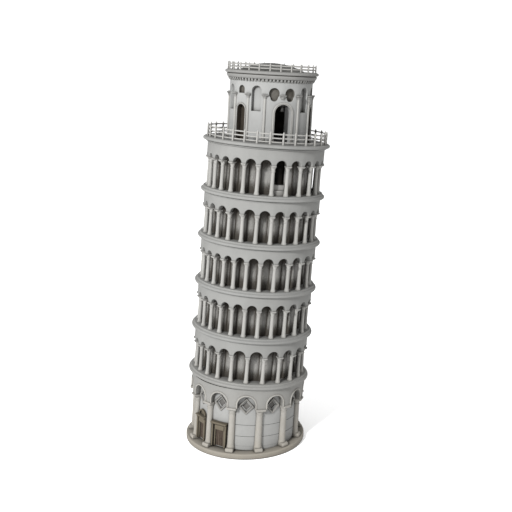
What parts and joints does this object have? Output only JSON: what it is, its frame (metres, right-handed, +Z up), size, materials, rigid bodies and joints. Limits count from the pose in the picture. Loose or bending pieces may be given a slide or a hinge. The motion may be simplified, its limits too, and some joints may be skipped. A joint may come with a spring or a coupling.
{
  "type": "miniature leaning tower",
  "caption": "Cast-stone miniature of a leaning round bell tower: blind arcade, open column galleries and a railed bell chamber on a round plinth.",
  "frame": {"origin": "centre of the underside, on the surface the model stands on", "axes": "+Z up; the tower leans towards +X; the pictured side faces about 21 degrees from -Y towards -X"},
  "size_m": [0.1196, 0.1014, 0.3122],
  "materials": {
    "cast_stone": "matte",
    "pale_stone": "matte",
    "warm_stone": "matte",
    "door_wash": "matte",
    "bell_metal": "matte",
    "felt": "matte"
  },
  "bodies": {
    "tower": {"base_pad": "felt", "plinth": "warm_stone", "ground_drum": "cast_stone", "ground_columns": "pale_stone", "ground_arcade": "cast_stone", "ground_archivolts": "pale_stone", "lozenge_frames": "pale_stone", "main_portal": "warm_stone", "side_portal": "warm_stone", "main_door": "door_wash", "side_door": "door_wash", "floor_1": "cast_stone", "floor_2": "cast_stone", "floor_3": "cast_stone", "floor_4": "cast_stone", "floor_5": "cast_stone", "core_1": "cast_stone", "core_2": "cast_stone", "core_3": "cast_stone", "core_4": "cast_stone", "core_5": "cast_stone", "pilasters_1": "cast_stone", "pilasters_2": "cast_stone", "pilasters_3": "cast_stone", "pilasters_4": "cast_stone", "pilasters_5": "cast_stone", "columns_1": "pale_stone", "columns_2": "pale_stone", "columns_3": "pale_stone", "columns_4": "pale_stone", "columns_5": "pale_stone", "arcade_1": "cast_stone", "arcade_2": "cast_stone", "arcade_3": "cast_stone", "arcade_4": "cast_stone", "arcade_5": "cast_stone", "doorway_step": "pale_stone", "gallery_deck": "cast_stone", "gallery_posts": "pale_stone", "gallery_rails": "pale_stone", "belfry_drum": "cast_stone", "belfry_colonnettes": "pale_stone", "belfry_capitals": "pale_stone", "opening_rims": "pale_stone", "corbel_table": "cast_stone", "belfry_cornice": "pale_stone", "roof_dome": "cast_stone", "top_posts": "pale_stone", "top_rails": "pale_stone", "bell_bar_1": "bell_metal", "bell_bar_2": "bell_metal", "bell_bar_3": "bell_metal"},
    "bell_1": {"bell_1": "bell_metal"},
    "bell_2": {"bell_2": "bell_metal"},
    "bell_3": {"bell_3": "bell_metal"}
  },
  "joints": [
    {"name": "bell_1_swing", "type": "hinge", "parent": "tower", "child": "bell_1", "pos_m": [0.02026, -0.02934, 0.27843], "axis": [0.9962, -0.0663, -0.0557], "range_deg": [-25, 25]},
    {"name": "bell_2_swing", "type": "hinge", "parent": "tower", "child": "bell_2", "pos_m": [0.04854, 0.01298, 0.27685], "axis": [-0.4408, 0.8973, 0.0246], "range_deg": [-25, 25]},
    {"name": "bell_3_swing", "type": "hinge", "parent": "tower", "child": "bell_3", "pos_m": [-0.00219, 0.01636, 0.27969], "axis": [-0.5554, -0.831, 0.0311], "range_deg": [-25, 25]}
  ]
}
